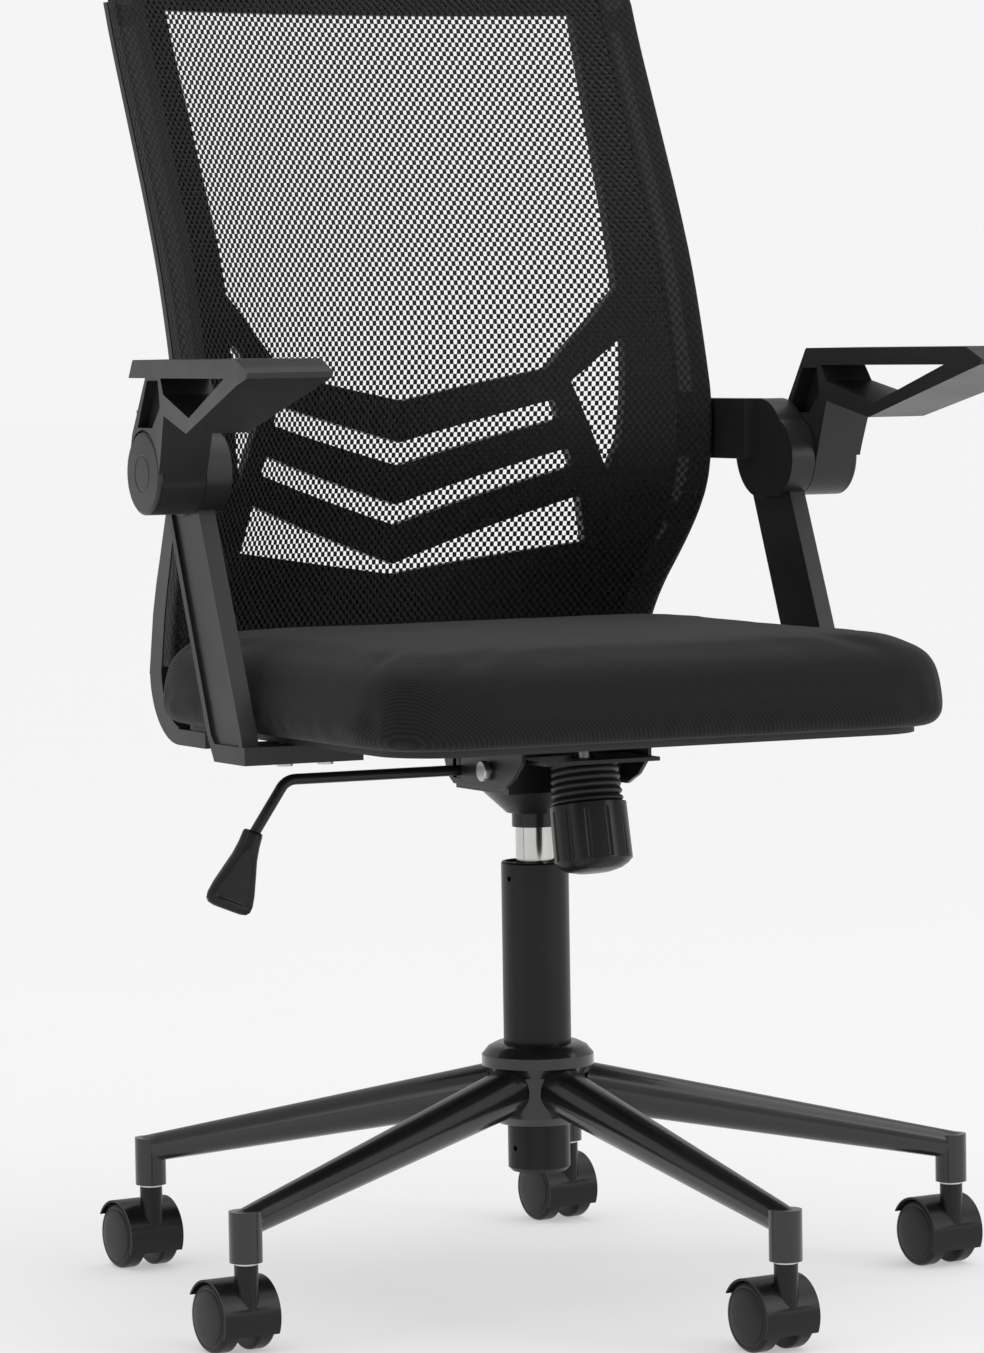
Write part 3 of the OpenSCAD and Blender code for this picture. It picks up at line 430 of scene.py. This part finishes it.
def bellows():
    step = (COVER_TOP - COVER_LOW) / COVER_RINGS
    outer = []
    for k in range(COVER_RINGS):
        for t in range(COVER_STEPS):
            share = t / COVER_STEPS
            swell = (COVER_SWELL - COVER_TAPER * k) * math.sin(math.pi * share) ** 0.75
            outer.append((COVER_R + swell, COVER_LOW + (k + share) * step))
    outer.append((COVER_R, COVER_TOP))
    inner = [(r - COVER_WALL, z) for r, z in reversed(outer)]
    verts, faces = lathe(outer + inner, 72, BOLT)
    for v in verts:
        v.z = min(v.z, SHELF)
    on_rocking_bolt("spring_bellows", verts, faces, "bellows_rubber", "spring_cover")


def coil_spring():
    turns, per_turn, sides, radius, wire = 4.5, 36, 10, 11.0, 1.1
    low, high = COVER_LOW + 1.6, -3.6
    count = int(turns * per_turn)
    verts, faces = [], []
    for n in range(count + 1):
        a = 2 * math.pi * n / per_turn
        z = low + (high - low) * n / count
        for k in range(sides):
            b = 2 * math.pi * k / sides
            r = radius + wire * math.cos(b)
            verts.append(BOLT @ (Vector((r * math.cos(a), r * math.sin(a), z + wire * math.sin(b))) * MM))
    for n in range(count):
        for k in range(sides):
            a, b = n * sides + k, n * sides + (k + 1) % sides
            faces.append((a, b, b + sides, a + sides))
    faces.append(tuple(reversed(range(sides))))
    faces.append(tuple(count * sides + k for k in range(sides)))
    on_rocking_bolt("tension_coil", verts, faces, "bright_steel", "tension_spring")


bellows()
coil_spring()

# ---------------------------------------------------------------- cushion

low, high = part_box("seat_cushion")
MID = Vector(((low[0] + high[0]) / 2, (low[1] + high[1]) / 2, low[2]))
HALF = (high[0] - low[0]) / 2 - 0.5 * MM
HALF_DEEP = (high[1] - low[1]) / 2 - 0.5 * MM
CORNER = 68 * MM
SQUARENESS = 9.6     # how much squarer than an ellipse the outline is
SIDE_DRAW = 2.2 * MM  # how far the sides draw in between the corners
PINNED_BELOW = 13 * MM  # the cover is held to the board up to this height
CUSHION_CAP = 5 * MM
CUSHION_FRAMES = 20
VOXEL = 5 * MM
# distance in from the edge, and height above the underside, in mm:
# from the pocket for the board, round the underside and the edge, and up to the crown
CUSHION_PROFILE = [
    (150, 12.6), (60, 12.6), (24, 12.6), (21.4, 11.6), (21.2, 6), (20.8, 1.0), (17, 0.3), (11, 1.6), (6, 5),
    (2.5, 11), (0.6, 19), (0, 28), (0.8, 38), (3.5, 48), (9, 56), (18, 61.5), (32, 63.5), (55, 65),
    (90, 66), (130, 66.6), (175, 67)
]


def square_ring(inset, count):
    """Points of a rounded square whose sides draw in a little between the corners."""
    half = HALF - inset
    corner = max(CORNER - inset * 0.6, CORNER * 0.35) if inset < HALF * 0.5 else half * 0.45
    points = []
    for k in range(count):
        a = 2 * math.pi * (k + 0.5) / count
        c, s = math.cos(a), math.sin(a)
        power = 2 + SQUARENESS * (1 - corner / half)
        reach = (abs(c) ** power + abs(s) ** power) ** (-1 / power)
        x, y = half * reach * c, (HALF_DEEP - inset) * reach * s
        draw = SIDE_DRAW * (math.cos(4 * a) * 0.5 + 0.5) * max(0.0, 1 - inset / (40 * MM))
        scale = 1 - draw / half
        points.append((x * scale, y * scale))
    return points


def cushion_form():
    count = 128
    verts, faces = [], []
    for inset, z in CUSHION_PROFILE:
        verts += [MID + Vector((x, y, z * MM)) for x, y in square_ring(inset * MM, count)]
    for j in range(len(CUSHION_PROFILE) - 1):
        for k in range(count):
            a, b = j * count + k, j * count + (k + 1) % count
            faces.append((a, b, b + count, a + count))
    last = (len(CUSHION_PROFILE) - 1) * count
    faces.append(tuple(reversed(range(count))))
    faces.append(tuple(last + k for k in range(count)))
    return mesh_from("seat_cushion_cover", verts, faces, 180.0)


def apply_all(obj):
    depsgraph = bpy.context.evaluated_depsgraph_get()
    mesh = bpy.data.meshes.new_from_object(obj.evaluated_get(depsgraph))
    obj.modifiers.clear()
    obj.data = mesh


def simulate(obj, cap, pinned):
    """Inflates a closed cover with cloth, and limits how far a point may move from where it was."""
    remesh = obj.modifiers.new("remesh", "REMESH")
    remesh.mode, remesh.voxel_size = "VOXEL", VOXEL
    apply_all(obj)
    start = [v.co.copy() for v in obj.data.vertices]
    group = obj.vertex_groups.new(name="pinned")
    group.add([v.index for v in obj.data.vertices if pinned(v.co)], 1.0, "ADD")
    cloth = obj.modifiers.new("cloth", "CLOTH").settings
    cloth.quality = 5
    cloth.mass = 0.3
    cloth.tension_stiffness = cloth.compression_stiffness = 30
    cloth.bending_stiffness = 4.0
    cloth.use_pressure = True
    cloth.uniform_pressure_force = 4.0
    cloth.vertex_group_mass = "pinned"
    cloth.effector_weights.gravity = 0.0
    scene = bpy.context.scene
    for number in range(1, CUSHION_FRAMES + 1):
        scene.frame_set(number)
    apply_all(obj)
    scene.frame_set(1)
    for v, was in zip(obj.data.vertices, start):
        move = v.co - was
        if move.length > cap:
            v.co = was + move * (cap / move.length)
    obj.vertex_groups.clear()
    ease = obj.modifiers.new("ease", "SMOOTH")
    ease.factor, ease.iterations = 0.5, 8
    subdivide = obj.modifiers.new("subdivide", "SUBSURF")
    subdivide.levels = subdivide.render_levels = 1
    apply_all(obj)


def pucker(mesh):
    """Small folds where the cover is pulled under the board, and gentle hollows on the crown."""
    for v in mesh.vertices:
        rel = v.co - MID
        side = max(0.0, 1 - abs(rel.z - 14 * MM) / (14 * MM))
        along = math.atan2(rel.y, rel.x)
        fold = noise.noise(Vector((along * 16.0, rel.z * 18.0, 3.7)))
        out = Vector((rel.x, rel.y, 0)).normalized()
        if math.hypot(rel.x, rel.y) > HALF - 18 * MM:
            v.co += out * (fold * 1.1 * MM * side)
        if rel.z > 50 * MM:
            v.co.z += 0.9 * MM * noise.noise(rel * 11.0)


cushion = add_object("seat_cushion_cover", cushion_form(), "seat", "seat_fabric", "seat_cushion")
simulate(cushion, CUSHION_CAP, lambda p: p.z < MID.z + PINNED_BELOW)
pucker(cushion.data)
soften_shading(cushion.data, 180.0)

# ---------------------------------------------------------------- mesh of the back

# height, set-back of the centre line and forward wrap per metre, as in the frame
BACK_ROWS = [
    (455, 236, .90), (500, 234, 1.20), (550, 230, 1.85), (600, 220, 2.10), (650, 210, 2.00),
    (700, 203, 1.60), (757, 208, 1.35), (810, 227, 1.28), (870, 251, 1.18), (940, 276, 1.00),
    (1020, 302, .90),
]
BACK_TOP, BACK_LOW, BACK_HALF, LOW_HALF, TOP_ROUND = 1005.0, 462.0, 221.0, 204.0, 42.0
SIDE_DEPTH, CORNER_R = 18.0, 7.0
CLOTH_T = 0.6 * MM


def back_lookup(z, column):
    z = min(max(z, BACK_ROWS[0][0]), BACK_ROWS[-1][0])
    for a, b in zip(BACK_ROWS, BACK_ROWS[1:]):
        if z <= b[0]:
            return a[column] + (b[column] - a[column]) * (z - a[0]) / (b[0] - a[0])
    return BACK_ROWS[-1][column]


def soft_lookup(z, column):
    return sum(back_lookup(z + d, column) for d in (-16, 0, 16)) / 3


def half_width(z):
    t = max(0.0, min(1.0, (600 - z) / 138))
    over = max(0.0, z - BACK_TOP + TOP_ROUND)
    round_in = TOP_ROUND - math.sqrt(max(0.0, TOP_ROUND ** 2 - over ** 2)) if over else 0.0
    return BACK_HALF - (BACK_HALF - LOW_HALF) * t * t * (3 - 2 * t) - round_in


def front_point(x, z, behind):
    return Vector((x, soft_lookup(z, 1) - soft_lookup(z, 2) / 1000 * x * x + behind, z))


def half_row(z, behind):
    """Points at height z from the middle out to the end of the right-hand side wall, in mm."""
    half = half_width(z) - behind
    across, bend, wall = 46, 6, 5
    points = [front_point((half - CORNER_R) * c / across, z, behind) for c in range(across + 1)]
    edge = front_point(half, z, behind)
    first, last = points[-1], edge + Vector((0, CORNER_R, 0))
    for k in range(1, bend + 1):
        t = k / bend
        points.append(first * (1 - t) ** 2 + edge * 2 * t * (1 - t) + last * t ** 2)
    step = (SIDE_DEPTH - CORNER_R - behind) / wall
    points += [last + Vector((0, step * k, 0)) for k in range(1, wall + 1)]
    return points


def back_cloth():
    rows, behind = 96, 0.6
    verts, faces, uvs, hems = [], [], [], []
    up, middle_before = 0.0, None
    for j in range(rows + 1):
        z = BACK_LOW + (BACK_TOP - BACK_LOW) * j / rows
        half = half_row(z, behind)
        row = [Vector((-p.x, p.y, p.z)) * MM for p in reversed(half[1:])] + [p * MM for p in half]
        middle = row[len(row) // 2]
        if middle_before is not None:
            up += (middle - middle_before).length
        middle_before = middle
        across = [0.0]
        for a, b in zip(row, row[1:]):
            across.append(across[-1] + (b - a).length)
        verts += row
        uvs += [(u - across[-1] / 2, up) for u in across]
        hems += [[min(u, across[-1] - u), up] for u in across]
    cols = len(row) - 1
    for place in hems:
        place[1] = min(place[1], up - place[1])
    for j in range(rows):
        for k in range(cols):
            a = j * (cols + 1) + k
            faces.append((a, a + 1, a + cols + 2, a + cols + 1))
    mesh = mesh_from("back_mesh_cloth", verts, faces, 180.0)
    for name, table in (("cloth", uvs), ("hem", hems)):
        layer = mesh.uv_layers.new(name=name)
        for loop in mesh.loops:
            layer.data[loop.index].uv = table[loop.vertex_index]
    return mesh


cloth = add_object("back_mesh_cloth", back_cloth(), "seat", "mesh_fabric", "back_mesh")
thick = cloth.modifiers.new("thickness", "SOLIDIFY")
thick.thickness, thick.offset = CLOTH_T, 0.0
apply_all(cloth)

# ---------------------------------------------------------------- CAD nodes that show as they are

shown = [n for n, obj in nodes.items() if not obj.hide_render]
for name in shown:
    wear(nodes[name], node_slot[name])
    soften_shading(nodes[name].data, SHARP_DEG)

# ---------------------------------------------------------------- floor, light, camera

floor_look = Look("studio_floor", (0.52, 0.52, 0.52), Emission_Strength=0.41, Specular_IOR_Level=0.1)
floor_look.bsdf.inputs["Emission Color"].default_value = (1.0, 1.0, 1.0, 1.0)
floor_look.vary(floor_look.noise(3.0, 4.0), 1.02)
floor_look.set("Roughness", floor_look.ramp(floor_look.noise(8.0, 3.0), 0.3, 0.7, 0.75, 0.85))
FLOOR = 40.0
floor_mesh = bpy.data.meshes.new("studio_floor")
floor_mesh.from_pydata([(-FLOOR, -FLOOR, 0), (FLOOR, -FLOOR, 0), (FLOOR, FLOOR, 0), (-FLOOR, FLOOR, 0)], [],
                       [(0, 1, 2, 3)])
floor = bpy.data.objects.new("studio_floor", floor_mesh)
bpy.context.scene.collection.objects.link(floor)
floor_mesh.materials.append(floor_look.done())


def aim(obj, target):
    obj.rotation_euler = (Vector(target) - obj.location).to_track_quat("-Z", "Y").to_euler()


def area_light(name, place, target, size, power):
    data = bpy.data.lights.new(name, "AREA")
    data.shape, data.size, data.size_y, data.energy = "RECTANGLE", size[0], size[1], power
    obj = bpy.data.objects.new(name, data)
    bpy.context.scene.collection.objects.link(obj)
    obj.location = place
    aim(obj, target)


CENTRE = (0.0, 0.0, 0.5)
area_light("key", (2.2, -2.8, 1.7), CENTRE, (1.4, 2.2), 26.0)
area_light("side", (-3.2, -0.6, 1.5), CENTRE, (0.9, 2.4), 7.0)
overhead_data = bpy.data.lights.new("overhead", "SUN")
overhead_data.energy, overhead_data.angle = 1.35, math.radians(80.0)
overhead = bpy.data.objects.new("overhead", overhead_data)
bpy.context.scene.collection.objects.link(overhead)
overhead.rotation_euler = (math.radians(8.0), math.radians(6.0), 0.0)

world = bpy.data.worlds.new("studio")
world.use_nodes = True
sky = world.node_tree
fill = sky.nodes["Background"]
fill.inputs["Color"].default_value = (0.93, 0.93, 0.93, 1)
fill.inputs["Strength"].default_value = 0.55
backdrop = sky.nodes.new("ShaderNodeBackground")
backdrop.inputs["Color"].default_value = (0.913, 0.913, 0.913, 1)
choice = sky.nodes.new("ShaderNodeMixShader")
sky.links.new(sky.nodes.new("ShaderNodeLightPath").outputs["Is Camera Ray"], choice.inputs[0])
sky.links.new(fill.outputs[0], choice.inputs[1])
sky.links.new(backdrop.outputs[0], choice.inputs[2])
sky.links.new(choice.outputs[0], sky.nodes["World Output"].inputs["Surface"])
bpy.context.scene.world = world
bpy.context.scene.view_settings.view_transform = "Standard"

AZIMUTH, DISTANCE, HEIGHT = math.radians(27.0), 4.089, 0.7107
PITCH, PAN, ROLL = 0.0621, -0.0072, 0.0158    # radians
FOCAL_SHARE = 5558.0 / 1353.0     # focal length over the long side of the image

camera_data = bpy.data.cameras.new("camera")
camera_data.sensor_width = 36.0
camera_data.lens = camera_data.sensor_width * FOCAL_SHARE
camera_data.clip_end = 200.0
camera = bpy.data.objects.new("camera", camera_data)
bpy.context.scene.collection.objects.link(camera)
turn = AZIMUTH + PAN
forward = Vector((math.sin(turn) * math.cos(PITCH), math.cos(turn) * math.cos(PITCH), -math.sin(PITCH)))
right = forward.cross(Vector((0, 0, 1))).normalized()
above = right.cross(forward)
side = right * math.cos(ROLL) - above * math.sin(ROLL)
top = above * math.cos(ROLL) + right * math.sin(ROLL)
stand = Vector((-DISTANCE * math.sin(AZIMUTH), -DISTANCE * math.cos(AZIMUTH), HEIGHT))
camera.matrix_world = Matrix.Translation(stand) @ Matrix((side, top, -forward)).transposed().to_4x4()
bpy.context.scene.camera = camera
